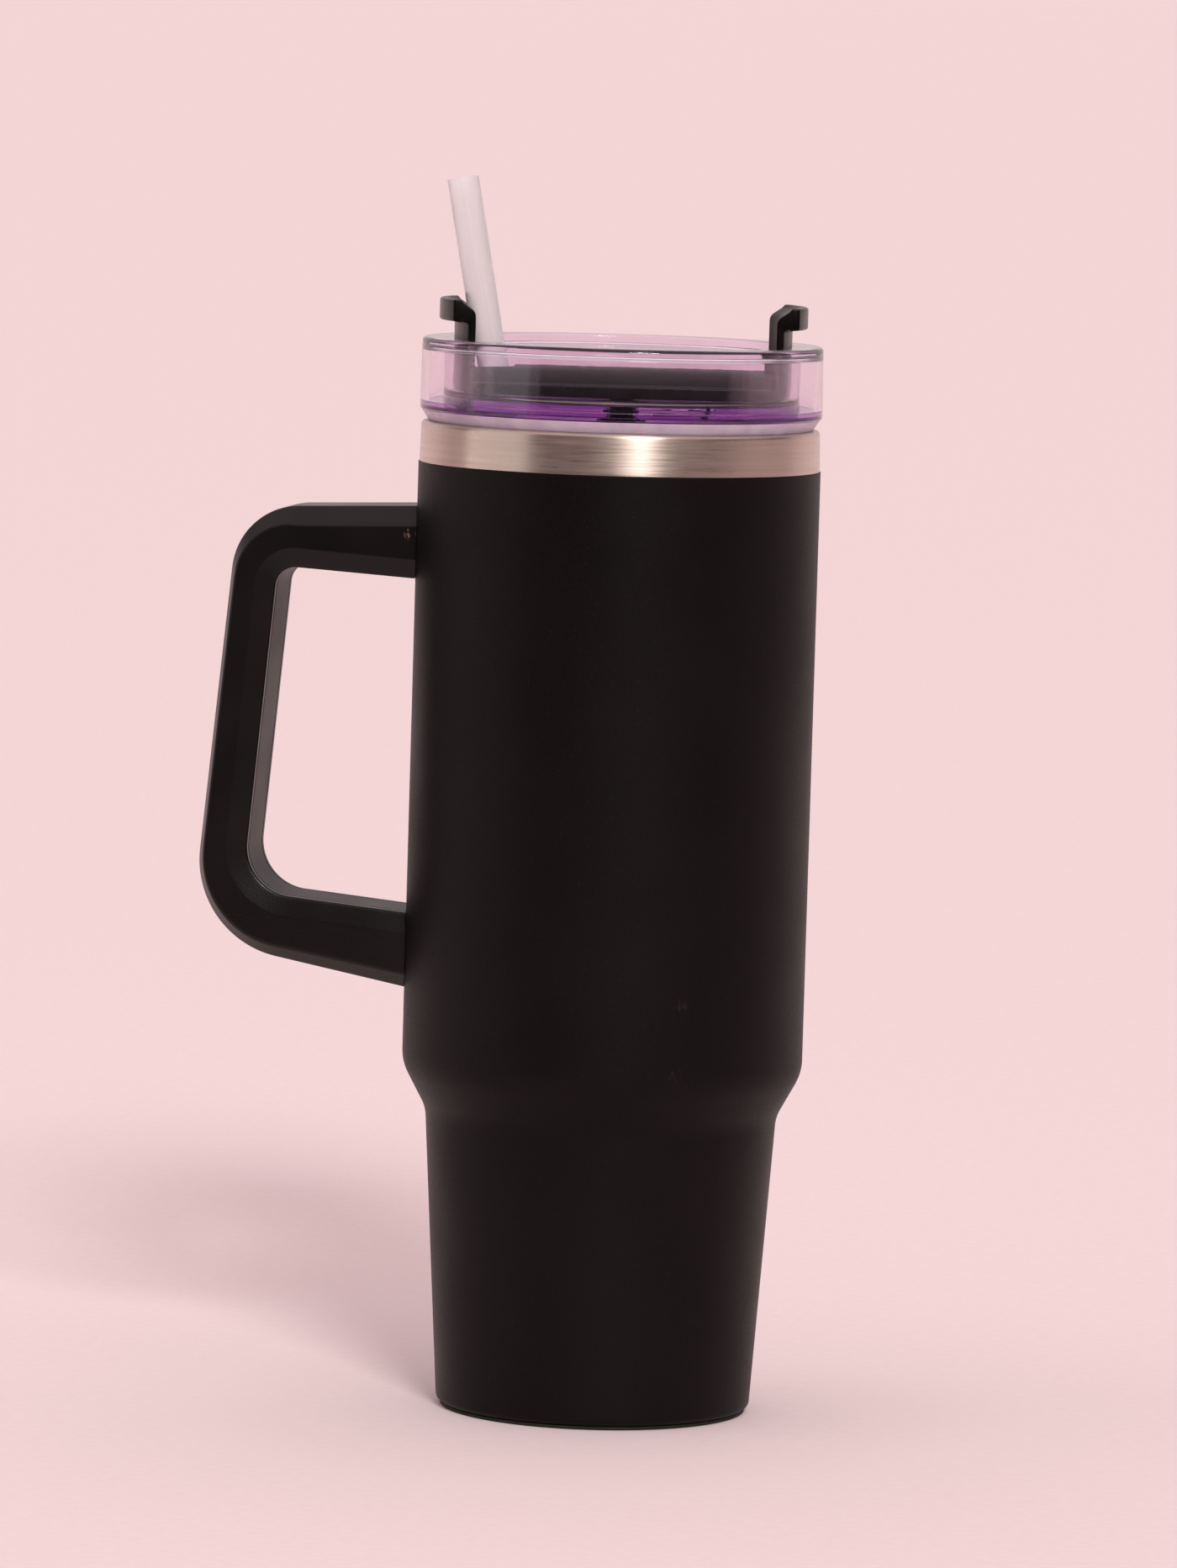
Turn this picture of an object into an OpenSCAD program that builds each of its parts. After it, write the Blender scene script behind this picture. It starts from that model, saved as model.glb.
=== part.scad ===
// Insulated travel tumbler: a double-wall steel cup with a side handle, a clear
// press-in lid, a turning closure with two finger lips, and a leaning straw.
// Millimetres, +Z up. The origin is the centre of the base, on the cup's axis.
// The handle points along -X and the straw leans towards it.

/* [Cup] */
// Outside diameter of the straight upper body
body_d = 98; // [96:0.5:100]
// Height of the mouth above the table
mouth_z = 241.3; // [235:0.1:255]
// Height of the bare steel band below the mouth
band_h = 10; // [7:0.5:14]
// Outside diameter where the shoulder meets the lower cone
waist_d = 86; // [84:0.2:88]
// Height where the shoulder meets the lower cone
waist_z = 73.1; // [68:0.1:76]
// Height where the straight body turns into the shoulder
shoulder_z = 84.2; // [82:0.1:90]
// Outside diameter of the lower cone at the foot
foot_d = 76.8; // [74:0.2:80]
// Width of the evacuated gap between the two walls
vacuum_gap = 2.8; // [2.4:0.1:3.2]

/* [Handle] */
// Distance from the cup's axis to the outermost corner of the grip
handle_reach = 102.2; // [98:0.2:108]
// Full width of the handle across its two side faces
handle_w = 23.4; // [22:0.2:26]
// Height of the upper arm's top face where it meets the cup
handle_top_z = 220.1; // [216:0.1:224]
// Height of the lower arm's underside where it meets the cup
handle_low_z = 102.3; // [98:0.1:106]

/* [Lid] */
// Outside diameter of the clear lid
lid_d = 97.9; // [96:0.1:99]
// Height of the clear lid above its seal
lid_h = 17.6; // [15:0.2:20]
// Inside diameter of the round recess in the lid
recess_d = 83; // [82.6:0.1:84]
// Length of the drinking opening along its arc
drink_l = 14.4; // [12:0.2:15]

/* [Closure] */
// Width of the closure strap
strap_w = 31; // [26:0.5:34]
// Angle of the closure away from the handle's line, as it stands
strap_turn = 11.5; // [0:0.5:40]
// Height of the finger lips above the top of the lid
lip_rise = 9.5; // [8:0.1:11]

/* [Straw] */
// Outside diameter of the straw
straw_d = 7.7; // [7:0.1:8]
// Lean of the straw from upright, towards the handle
straw_lean = 10.6; // [8:0.1:11]
// Height of the middle of the straw's top end
straw_top_z = 300; // [285:1:305]

/* [Hidden] */

$fn = 96;
arc_steps = 8;
// Overshoot of a cutting shape past the face it cuts
past = 1;

// Cup walls
body_r = body_d / 2;
shell_t = 0.5;
liner_t = 0.4;
liner_gap = shell_t + vacuum_gap;
shoulder_round = 12;
waist_round = 10;
foot_round = 1.9;
band_z = mouth_z - band_h;
// The bare band stands this far inside the painted body
band_inset = 0.25;
band_draft = 0.25;
band_t = 0.5;
lip_round = 1.1;
liner_inner_r = body_r - liner_gap - liner_t;
liner_floor_z = 9;
liner_foot_round = 8;

// Base, from the table upwards
pad_t = 0.8;
pad_r = 37.4;
pad_groove_r = 31;
pad_groove_w = 1.6;
pad_groove_depth = 0.3;
flange_inner_r = 33.5;
cover_fit = 0.15;
base_overlap = 2.3;
port_r = 1.5;
getter_r = 5;
getter_h = 2.6;
getter_place_r = 16;
foil_t = 0.08;
foil_clear = 0.25;
foil_low_z = 18;
foil_top_z = 225;

// Handle. Slopes are rise or spread per unit of length.
arm_start = 42;
handle_half = handle_w / 2;
handle_inner_half = handle_half - 1.1;
handle_outer_half = handle_half - 3.7;
upper_arm_h = 17.6;
lower_arm_h = 18.5;
upper_top_fall = 0.038;
upper_under_rise = 0.055;
lower_top_rise = 0.092;
lower_under_rise = 0.187;
grip_outer_spread = 0.0885;
grip_inner_spread = 0.083;
grip_t = 13.2;
upper_corner_round = 17;
lower_corner_round = 24;
upper_inner_round = 5;
lower_inner_round = 12;
handle_wall = 2.6;
cover_t = 2.3;
cover_half = 8.4;
channel_half = 7.3;
handle_slip = 0.1;
web_depth = 4.8;
web_t = 2.4;
web_out = 65;
tab_t = 3.2;
tab_out = 64;
saddle_t = 1.2;
saddle_h = 5.2;
saddle_clear = 0.15;
screw_x = 57;
screw_r = 1.95;
screw_head_r = 3.8;
screw_head_h = 2.1;
screw_l = 9;

// Lid
seal_gap = 2.7;
lid_z = mouth_z + seal_gap;
lid_top_z = lid_z + lid_h;
lid_r = lid_d / 2;
lid_wall = 2;
recess_r = recess_d / 2;
recess_wall = 1.8;
floor_under_z = lid_z + 0.9;
floor_z = lid_z + 3.4;
base_ring_h = 2.2;
weld_fit = 0.05;
lid_edge_round = 2.2;
recess_edge_round = 1;
plug_r = liner_inner_r - 1.3;
plug_wall = 1.6;
plug_depth = 10;
fin_fit = 0.15;
gasket_lift = 0.05;
drink_r = 31;
drink_half_w = 4.5;
drink_half_angle = (drink_l / 2 - drink_half_w) / drink_r * 180 / PI;

// Straw
straw_r = straw_d / 2;
straw_wall = 0.6;
straw_hole_x = 30.6;
straw_hole_r = straw_r + 0.75;
straw_hole_z = (floor_under_z + floor_z) / 2;
straw_low_z = 13;

// Closure strap
strap_under_z = floor_z + 0.7;
strap_t = 2.9;
strap_top_z = strap_under_z + strap_t;
upright_out_r = recess_r - 0.4;
upright_t = 1.8;
upright_in_r = upright_out_r - upright_t;
strap_round = 2.6;
lip_out_r = upright_out_r + 3.7;
lip_top_z = lid_top_z + lip_rise;
crown_rise = 4.2;
crown_half_w = 13;
crown_left = 40;
crown_right = 37;
crown_round = (crown_half_w * crown_half_w + crown_rise * crown_rise) / (2 * crown_rise);
notch_in_r = 26.2;
notch_out_r = 36.6;
notch_closed_angle = 188.5;
notch_open_angle = 140;
seal_r = 7.9;
seal_lift = 0.15;
seal_pocket = 1.1;
pivot_r = 2.95;
pivot_fit = 0.05;
pivot_head_r = 6;
pivot_head_h = 1.6;
ring_gap = 1.1;
ring_r = 0.52;

paint = [0.10, 0.07, 0.07];
steel = [0.78, 0.77, 0.76];
copper = [0.72, 0.45, 0.30];
moulding = [0.12, 0.09, 0.09];
clear = [0.80, 0.72, 0.86, 0.35];
silicone = [0.86, 0.86, 0.88];
frosted = [0.88, 0.86, 0.87, 0.6];

function unit(v) = v / norm(v);
function backwards(list) = [for (i = [len(list) - 1:-1:0]) list[i]];

// Points of the arc of radius r that rounds corner b between a and c
function corner_arc(a, b, c, r) =
    let (
        u = unit(a - b),
        v = unit(c - b),
        half = acos(u * v) / 2,
        centre = b + unit(u + v) * r / sin(half),
        from = b + u * r / tan(half) - centre,
        to = b + v * r / tan(half) - centre,
        start = atan2(from.y, from.x),
        turn = (atan2(to.y, to.x) - start + 540) % 360 - 180
    )
    [for (i = [0:arc_steps])
        let (at = start + turn * i / arc_steps)
        centre + r * [cos(at), sin(at)]];

// Outline through corners [x, y, radius], with each corner rounded by its radius
function rounded(corners) =
    let (n = len(corners), at = [for (c = corners) [c.x, c.y]])
    [for (i = [0:n - 1])
        each corners[i][2] > 0
            ? corner_arc(at[(i + n - 1) % n], at[i], at[(i + 1) % n], corners[i][2])
            : [at[i]]];

// The outer wall's corners from the mouth down, moved inwards by d. A hollow corner has a
// negative radius, so that taking d away from it makes its arc larger.
wall_line = [
    [body_r, band_z, 0],
    [body_r, shoulder_z, shoulder_round],
    [waist_d / 2, waist_z, -waist_round],
    [foot_d / 2, pad_t, foot_round]
];
function inward(a, b) = let (u = unit(b - a)) [u.y, -u.x];
function wall_corner(i, d) =
    let (
        at = [for (c = wall_line) [c.x, c.y]],
        n1 = inward(at[i - 1], at[i]),
        n2 = inward(at[i], at[i + 1]),
        moved = at[i] + d * (n1 + n2) / (1 + n1 * n2)
    )
    [moved.x, moved.y, abs(wall_line[i][2] - d)];
// Radius of the lower cone at height z, moved inwards by d
function cone_r(z, d) =
    let (
        a = [waist_d / 2, waist_z],
        b = [foot_d / 2, pad_t],
        n = inward(a, b)
    )
    a.x + (b.x - a.x) * (z - a.y) / (b.y - a.y) + d / n.x;

module revolved(corners) {
    rotate_extrude()
        polygon(rounded(corners));
}

// ---------- cup ----------

module outer_shell() {
    flange_top = pad_t + shell_t;
    color(paint)
        revolved([
            [body_r, band_z, 0.2],
            wall_corner(1, 0),
            wall_corner(2, 0),
            wall_line[3],
            [flange_inner_r, pad_t, 0],
            [flange_inner_r, flange_top, 0],
            [cone_r(flange_top, shell_t), flange_top, foot_round - shell_t],
            wall_corner(2, shell_t),
            wall_corner(1, shell_t),
            [body_r - shell_t, band_z, 0]
        ]);
}

module inner_liner() {
    under_lip = mouth_z - band_t;
    inner_gap = liner_gap + liner_t;
    floor_top = liner_floor_z + liner_t;
    band_r = body_r - band_inset;
    color(steel)
        revolved([
            [band_r, band_z, 0],
            [band_r - band_draft, mouth_z, lip_round],
            [liner_inner_r, mouth_z, lip_round],
            wall_corner(1, inner_gap),
            wall_corner(2, inner_gap),
            [cone_r(floor_top, inner_gap), floor_top, liner_foot_round - liner_t],
            [0, floor_top, 0],
            [0, liner_floor_z, 0],
            [cone_r(liner_floor_z, liner_gap), liner_floor_z, liner_foot_round],
            wall_corner(2, liner_gap),
            wall_corner(1, liner_gap),
            [liner_inner_r + liner_t, under_lip, lip_round - band_t],
            [band_r - band_draft - band_t, under_lip, lip_round - band_t],
            [band_r - band_t, band_z, 0]
        ]);
}

// Copper foil that turns back radiant heat, wrapped round the liner inside the vacuum
module radiation_foil() {
    near = liner_gap - foil_clear;
    far = near - foil_t;
    color(copper)
        revolved([
            [body_r - far, foil_top_z, 0],
            wall_corner(1, far),
            wall_corner(2, far),
            [cone_r(foil_low_z, far), foil_low_z, 0],
            [cone_r(foil_low_z, near), foil_low_z, 0],
            wall_corner(2, near),
            wall_corner(1, near),
            [body_r - near, foil_top_z, 0]
        ]);
}

// Pressed steel disc that closes the outer wall, with the port the air is drawn out of
module outer_base() {
    color(steel)
        translate([0, 0, pad_t + shell_t])
            difference() {
                cylinder(h = shell_t, r = flange_inner_r + base_overlap);
                translate([0, 0, -past])
                    cylinder(h = shell_t + 2 * past, r = port_r);
            }
}

// Gas-absorbing tablet in its holder, spot-welded inside the vacuum
module getter() {
    color([0.35, 0.35, 0.37])
        translate([getter_place_r, 0, pad_t + 2 * shell_t])
            cylinder(h = getter_h, r = getter_r);
}

// Bead that fills the port once the air is out
module vacuum_seal() {
    bead_h = shell_t + 0.8;
    color([0.55, 0.56, 0.58])
        translate([0, 0, pad_t + shell_t])
            union() {
                cylinder(h = bead_h, r = port_r);
                translate([0, 0, shell_t])
                    cylinder(h = bead_h - shell_t, r1 = port_r + 1, r2 = port_r);
            }
}

// Thin disc that hides the port and its bead
module base_cover() {
    color(paint)
        translate([0, 0, pad_t])
            cylinder(h = shell_t, r = flange_inner_r - cover_fit);
}

module base_pad() {
    color([0.07, 0.07, 0.07])
        difference() {
            revolved([
                [0, 0, 0],
                [pad_r, 0, 0.3],
                [pad_r, pad_t, 0],
                [0, pad_t, 0]
            ]);
            translate([0, 0, -past])
                difference() {
                    cylinder(h = past + pad_groove_depth, r = pad_groove_r);
                    translate([0, 0, -past])
                        cylinder(h = 3 * past + pad_groove_depth, r = pad_groove_r - pad_groove_w);
                }
        }
}

// ---------- handle ----------

// Corners of the handle's outer and inner faces as [distance from the axis, height], from the
// end of the upper arm to the end of the lower one. Both arms start inside the cup's wall.
function upper_top(x) = handle_top_z - upper_top_fall * (x - body_r);
function upper_under(x) = handle_top_z - upper_arm_h + upper_under_rise * (x - body_r);
function lower_top(x) = handle_low_z + lower_arm_h + lower_top_rise * (x - body_r);
function lower_under(x) = handle_low_z + lower_under_rise * (x - body_r);
outer_h = handle_top_z - lower_under(handle_reach);
inner_h = upper_under(body_r) - lower_top(body_r);
outer_upper_x = handle_reach - grip_outer_spread * outer_h;
inner_lower_x = handle_reach - grip_t;
inner_upper_x = inner_lower_x - grip_inner_spread * inner_h;
outer_line = [
    [arm_start, upper_top(arm_start)],
    [outer_upper_x, upper_top(outer_upper_x)],
    [handle_reach, lower_under(handle_reach)],
    [arm_start, lower_under(arm_start)]
];
inner_line = [
    [arm_start, upper_under(arm_start)],
    [inner_upper_x, upper_under(inner_upper_x)],
    [inner_lower_x, lower_top(inner_lower_x)],
    [arm_start, lower_top(arm_start)]
];

// Each station of the handle is [inner point, outer point, inner bevel, outer bevel]
function blend(a, b, k) = a + (b - a) * k;
function bend_stations(i, inner_round, outer_round, bevels_in, bevels_out) =
    let (
        inner = corner_arc(inner_line[i - 1], inner_line[i], inner_line[i + 1], inner_round),
        outer = corner_arc(outer_line[i - 1], outer_line[i], outer_line[i + 1], outer_round)
    )
    [for (k = [0:arc_steps])
        [inner[k], outer[k], blend(bevels_in[0], bevels_in[1], k / arc_steps),
            blend(bevels_out[0], bevels_out[1], k / arc_steps)]];
stations = concat(
    [[inner_line[0], outer_line[0], 4.6, 4.9]],
    bend_stations(1, upper_inner_round, upper_corner_round, [4.8, 5.2], [4.7, 1.6]),
    bend_stations(2, lower_inner_round, lower_corner_round, [5.2, 5], [1.6, 3]),
    [[inner_line[3], outer_line[3], 5, 3.7]]
);

// Cross-sections as [across the handle, depth from the inner face]
function depth(s) = norm(s[1] - s[0]);
function mirrored(half) = concat(half, [for (p = backwards(half)) [-p.x, p.y]]);
function frame_section(s) =
    mirrored([
        [channel_half, depth(s) - handle_wall],
        [channel_half, cover_t + handle_slip],
        [cover_half + handle_slip, cover_t + handle_slip],
        [cover_half + handle_slip, 0],
        [handle_inner_half, 0],
        [handle_half, s[2]],
        [handle_half, depth(s) - s[3]],
        [handle_outer_half, depth(s)]
    ]);
function cover_section(s) =
    mirrored([
        [cover_half, 0],
        [cover_half, cover_t]
    ]);

// A bar that carries one section per station along the handle
module swept(sections) {
    n = len(sections[0]);
    last = len(sections) - 1;
    points = [for (k = [0:last])
        let (away = unit(stations[k][1] - stations[k][0]))
        for (p = sections[k])
            let (q = stations[k][0] + away * p.y)
            [-q.x, p.x, q.y]];
    sides = [for (k = [0:last - 1])
        for (i = [0:n - 1])
            let (j = (i + 1) % n)
            each [
                [k * n + i, k * n + j, (k + 1) * n + j],
                [k * n + i, (k + 1) * n + j, (k + 1) * n + i]
            ]];
    ends = [
        [for (i = [n - 1:-1:0]) i],
        [for (i = [0:n - 1]) last * n + i]
    ];
    polyhedron(points, concat(sides, ends));
}

// What the cup's wall takes out of the ends of the handle
module cup_clearance() {
    translate([0, 0, handle_low_z - 20])
        cylinder(h = handle_top_z - handle_low_z + 40, r = body_r + handle_slip, $fn = 180);
}

// Places a child on an arm's inner face: x runs out along the arm, z into the handle
module on_upper_arm() {
    translate([-body_r, 0, upper_under(body_r)])
        rotate([0, -atan(upper_under_rise), 180])
            translate([-body_r, 0, 0])
                children();
}
module on_lower_arm() {
    translate([-body_r, 0, lower_top(body_r)])
        rotate([180, atan(lower_top_rise), 0])
            mirror([1, 0, 0])
                translate([-body_r, 0, 0])
                    children();
}

// Cross-web that the screw clamps against the welded bracket
module screw_web() {
    reach_in = body_r - 4;
    difference() {
        translate([reach_in, -channel_half - 0.5, web_depth])
            cube([web_out - reach_in, 2 * channel_half + 1, web_t]);
        translate([screw_x, 0, web_depth - past])
            cylinder(h = web_t + 2 * past, r = screw_r + 0.1);
    }
}

module handle_frame() {
    color(moulding)
        difference() {
            union() {
                swept([for (s = stations) frame_section(s)]);
                on_upper_arm()
                    screw_web();
                on_lower_arm()
                    screw_web();
            }
            cup_clearance();
        }
}

// Strip that closes the hollow frame along the side the fingers touch
module handle_cover() {
    color([0.15, 0.11, 0.11])
        difference() {
            swept([for (s = stations) cover_section(s)]);
            cup_clearance();
        }
}

// Welded steel bracket: a saddle on the cup and a tapped tab inside the arm
module bracket_tab() {
    difference() {
        translate([body_r - 2, -channel_half + handle_slip, web_depth + web_t + weld_fit])
            cube([tab_out - body_r + 2, 2 * (channel_half - handle_slip), tab_t]);
        translate([screw_x, 0, web_depth])
            cylinder(h = web_t + tab_t + 2 * past, r = screw_r);
    }
}
function saddle_depth() = web_depth + web_t + saddle_clear + saddle_h / 2;
module bracket_saddle(z) {
    intersection() {
        difference() {
            translate([0, 0, z - saddle_h / 2])
                cylinder(h = saddle_h, r = body_r + saddle_t);
            translate([0, 0, z - saddle_h])
                cylinder(h = 2 * saddle_h, r = body_r);
        }
        translate([-body_r - 5, -channel_half + handle_slip, z - saddle_h])
            cube([10, 2 * (channel_half - handle_slip), 2 * saddle_h]);
    }
}
module welded_bracket(z) {
    color(steel)
        union() {
            difference() {
                children();
                translate([0, 0, z - 2 * saddle_h])
                    cylinder(h = 4 * saddle_h, r = body_r);
            }
            bracket_saddle(z);
        }
}
module upper_bracket() {
    welded_bracket(upper_under(body_r) + saddle_depth())
        on_upper_arm()
            bracket_tab();
}
module lower_bracket() {
    welded_bracket(lower_top(body_r) - saddle_depth())
        on_lower_arm()
            bracket_tab();
}

module handle_screw() {
    translate([screw_x, 0, web_depth - screw_head_h])
        cylinder(h = screw_head_h, r = screw_head_r);
    translate([screw_x, 0, web_depth - past / 2])
        cylinder(h = screw_l + past / 2, r = screw_r);
}
module handle_screws() {
    color([0.60, 0.60, 0.62]) {
        on_upper_arm()
            handle_screw();
        on_lower_arm()
            handle_screw();
    }
}

// ---------- lid ----------

// Opening of half width w that follows an arc of radius r about the lid's centre
module arc_slot(r, w, half_angle, low, high) {
    rotate([0, 0, 90 - half_angle])
        rotate_extrude(angle = 2 * half_angle)
            translate([r - w, low])
                square([2 * w, high - low]);
    for (side = [-1, 1])
        rotate([0, 0, 90 + side * half_angle])
            translate([r, 0, low])
                cylinder(h = high - low, r = w);
}

module lid_body() {
    ring_top = lid_z + base_ring_h;
    cavity_top = lid_top_z - lid_wall;
    cavity_round = 1.2;
    color(clear)
        difference() {
            revolved([
                [0, floor_under_z, 0],
                [recess_r + recess_wall, floor_under_z, 0],
                [recess_r + recess_wall, cavity_top, cavity_round],
                [lid_r - lid_wall, cavity_top, cavity_round],
                [lid_r - lid_wall, ring_top, 0],
                [lid_r, ring_top, 0],
                [lid_r - 0.15, lid_top_z, lid_edge_round],
                [recess_r, lid_top_z, recess_edge_round],
                [recess_r, floor_z, recess_edge_round],
                [0, floor_z, 0]
            ]);
            translate([0, 0, floor_under_z - past])
                cylinder(h = floor_z - floor_under_z + 2 * past, r = pivot_r + pivot_fit);
            translate([-straw_hole_x, 0, floor_under_z - past])
                cylinder(h = floor_z - floor_under_z + 2 * past, r = straw_hole_r);
            arc_slot(drink_r, drink_half_w, drink_half_angle, floor_under_z - past, floor_z + past);
        }
}

// Lower moulding, welded under the lid body: the outer ring and the plug that enters the cup
module lid_base() {
    ring_top = lid_z + base_ring_h;
    ledge_z = floor_under_z - weld_fit;
    groove_low = lid_z - 7.6;
    groove_high = lid_z - 4.2;
    groove_r = plug_r - 0.6;
    color(clear)
        revolved([
            [plug_r - plug_wall, lid_z - plug_depth, 0.5],
            [plug_r, lid_z - plug_depth, 0.5],
            [plug_r, groove_low, 0],
            [groove_r, groove_low, 0],
            [groove_r, groove_high, 0],
            [plug_r, groove_high, 0],
            [plug_r, lid_z, 0],
            [lid_r, lid_z, 0.5],
            [lid_r, ring_top, 0],
            [recess_r + recess_wall + weld_fit, ring_top, 0],
            [recess_r + recess_wall + weld_fit, ledge_z, 0],
            [plug_r - plug_wall, ledge_z, 0]
        ]);
}

// Silicone seal: a flange between lid and mouth, and a sleeve with two fins round the plug
module rim_gasket() {
    flange_z = mouth_z + gasket_lift;
    flange_r = lid_r - 0.4;
    foot_r = mouth_r();
    sleeve_r = plug_r + 0.5;
    key_low = lid_z - 7.5;
    key_high = lid_z - 4.3;
    fin_r = liner_inner_r - fin_fit;
    low = lid_z - 9;
    color(silicone)
        revolved([
            [plug_r, low, 0],
            [sleeve_r, low, 0],
            [fin_r, low + 0.9, 0],
            [fin_r, low + 1.4, 0],
            [sleeve_r, low + 1.8, 0],
            [sleeve_r, low + 3.6, 0],
            [fin_r, low + 4.5, 0],
            [fin_r, low + 5, 0],
            [sleeve_r, low + 5.4, 0],
            [sleeve_r, flange_z, 0],
            [foot_r, flange_z, 0.3],
            [flange_r, lid_z, 0],
            [plug_r, lid_z, 0],
            [plug_r, key_high, 0],
            [plug_r - 0.5, key_high, 0],
            [plug_r - 0.5, key_low, 0],
            [plug_r, key_low, 0]
        ]);
}
function mouth_r() = body_r - 2.2;

// ---------- closure ----------

module turned() {
    rotate([0, 0, strap_turn])
        children();
}

// Strap, curved uprights and finger lips: one cup-shaped outline cut to the strap's width
module strap_blank() {
    intersection() {
        revolved([
            [0, strap_under_z, 0],
            [upright_out_r, strap_under_z, strap_round],
            [upright_out_r, lip_top_z - 5.7, 0.6],
            [lip_out_r - 2.4, lip_top_z - 5, 0.3],
            [lip_out_r - 2, lip_top_z - 5.4, 0.2],
            [lip_out_r, lip_top_z - 5.2, 0.4],
            [lip_out_r, lip_top_z, 0.5],
            [lip_out_r - 1.8, lip_top_z, 0.4],
            [lip_out_r - 2.5, lip_top_z - 0.8, 0.3],
            [upright_in_r, lip_top_z - 2.8, 2.4],
            [upright_in_r, strap_top_z, 1],
            [0, strap_top_z, 0]
        ]);
        translate([-body_r, -strap_w / 2, strap_under_z - past])
            cube([2 * body_r, strap_w, lip_top_z - strap_under_z + 2 * past]);
    }
}

// Pillow-shaped rise along the strap. It runs into the upright on the straw's side.
module strap_crown() {
    intersection() {
        translate([-crown_left, 0, strap_top_z + crown_rise - crown_round])
            rotate([0, 90, 0])
                cylinder(h = crown_left + crown_right, r = crown_round, $fn = 180);
        translate([-body_r, -body_r, strap_top_z - strap_t / 2])
            cube([2 * body_r, 2 * body_r, strap_t / 2 + crown_rise + past]);
        cylinder(h = 2 * lid_top_z, r = upright_in_r + 0.7);
    }
}

module closure_strap() {
    cut_low = strap_under_z - past;
    cut_high = strap_top_z + crown_rise + past;
    color(moulding)
        turned()
            difference() {
                union() {
                    strap_blank();
                    strap_crown();
                }
                rotate([0, 0, notch_open_angle])
                    rotate_extrude(angle = notch_closed_angle - notch_open_angle)
                        translate([notch_in_r, cut_low])
                            square([notch_out_r - notch_in_r, cut_high - cut_low]);
                translate([drink_r, 0, cut_low])
                    cylinder(h = past + seal_pocket, r = seal_r);
                translate([0, 0, cut_low])
                    cylinder(h = past + strap_t, r = pivot_r);
            }
}

// Silicone pad that shuts the drinking opening when the strap is turned over it
module closure_seal() {
    color(silicone)
        turned()
            translate([drink_r, 0, floor_z + seal_lift])
                cylinder(h = strap_under_z + seal_pocket - floor_z - seal_lift, r = seal_r);
}

// Pin that turns with the strap in the lid's floor
module pivot_pin() {
    head_z = floor_under_z - ring_gap - pivot_head_h;
    color(moulding)
        union() {
            translate([0, 0, head_z])
                cylinder(h = pivot_head_h, r = pivot_head_r);
            translate([0, 0, head_z])
                cylinder(h = strap_top_z - head_z, r = pivot_r);
        }
}

// O-ring on the pin, between its head and the lid's floor
module pivot_ring() {
    color(silicone)
        translate([0, 0, floor_under_z - ring_gap / 2])
            rotate_extrude()
                translate([pivot_r + ring_r + 0.05, 0])
                    circle(r = ring_r, $fn = 32);
}

// ---------- straw ----------

module straw() {
    below = (straw_hole_z - straw_low_z) / cos(straw_lean);
    above = (straw_top_z - straw_hole_z) / cos(straw_lean);
    color(frosted)
        translate([-straw_hole_x, 0, straw_hole_z])
            rotate([0, -straw_lean, 0])
                translate([0, 0, -below])
                    difference() {
                        cylinder(h = below + above, r = straw_r);
                        translate([0, 0, -past])
                            cylinder(h = below + above + 2 * past, r = straw_r - straw_wall);
                    }
}

outer_shell();
inner_liner();
radiation_foil();
outer_base();
getter();
vacuum_seal();
base_cover();
base_pad();
upper_bracket();
lower_bracket();
handle_frame();
handle_cover();
handle_screws();
lid_body();
lid_base();
rim_gasket();
closure_strap();
closure_seal();
pivot_pin();
pivot_ring();
straw();
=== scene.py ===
import math

import bmesh
import bpy
import numpy as np
from mathutils import Matrix, Vector


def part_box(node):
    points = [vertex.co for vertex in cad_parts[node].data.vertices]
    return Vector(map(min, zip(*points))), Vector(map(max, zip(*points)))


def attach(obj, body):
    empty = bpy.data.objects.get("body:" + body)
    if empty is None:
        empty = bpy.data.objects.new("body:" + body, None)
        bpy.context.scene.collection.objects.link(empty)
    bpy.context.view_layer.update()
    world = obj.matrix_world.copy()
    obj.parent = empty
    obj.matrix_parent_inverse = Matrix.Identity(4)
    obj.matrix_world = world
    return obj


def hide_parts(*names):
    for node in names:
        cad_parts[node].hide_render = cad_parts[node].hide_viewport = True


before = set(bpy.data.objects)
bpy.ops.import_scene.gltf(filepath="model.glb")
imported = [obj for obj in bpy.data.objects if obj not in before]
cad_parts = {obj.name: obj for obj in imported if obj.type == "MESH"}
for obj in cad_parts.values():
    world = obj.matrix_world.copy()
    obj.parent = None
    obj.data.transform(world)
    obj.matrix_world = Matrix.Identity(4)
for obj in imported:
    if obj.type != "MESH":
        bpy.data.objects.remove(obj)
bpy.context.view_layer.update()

MM = 0.001
EDGE_STEPS = 8
STRAW_LEAN = math.radians(10.6)
# How far a cutter runs past the face it opens
PAST = 1


# ---------- surfaces ----------


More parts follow.
